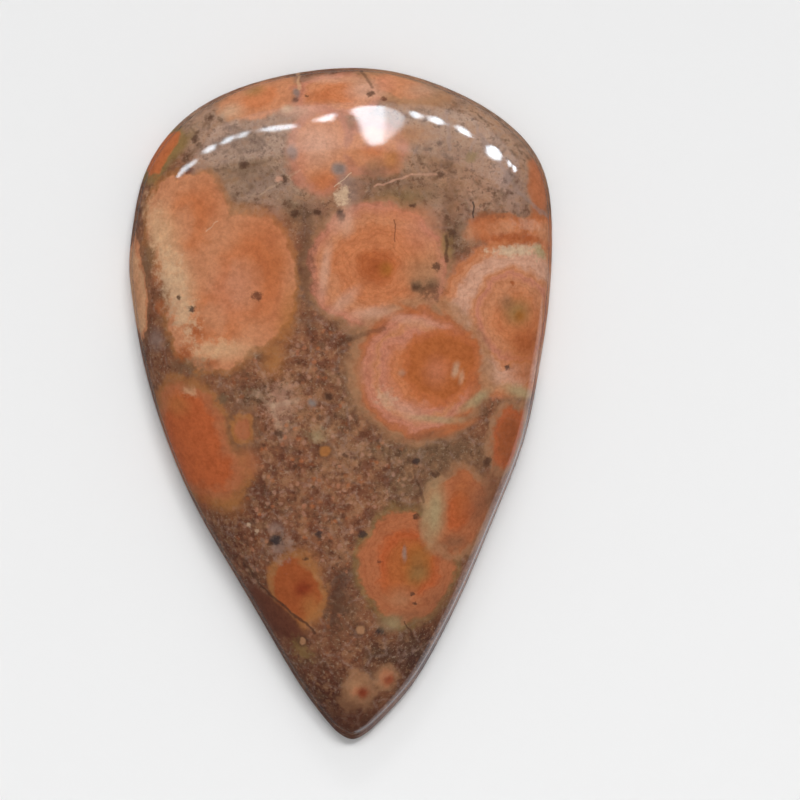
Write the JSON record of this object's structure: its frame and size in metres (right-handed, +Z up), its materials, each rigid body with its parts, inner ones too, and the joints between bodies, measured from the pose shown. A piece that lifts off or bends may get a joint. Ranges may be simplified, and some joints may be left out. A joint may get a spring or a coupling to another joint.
{
  "type": "poppy jasper cabochon",
  "caption": "Pear-shaped polished jasper cabochon with a low dome, a thin girdle and a flat bevelled back, for a bezel setting or a display tray.",
  "frame": {"origin": "on the surface that the flat back rests on, under the middle of the stone's box", "axes": "+Z up through the dome, +Y along the stone from its point to its broad end, +X to the right as seen from above"},
  "size_m": [0.0302, 0.048, 0.0066],
  "materials": {
    "polished_jasper": "high polish on the dome, satin lapped back"
  },
  "bodies": {
    "root": {"poppy_jasper_cabochon": "polished_jasper"}
  },
  "joints": []
}
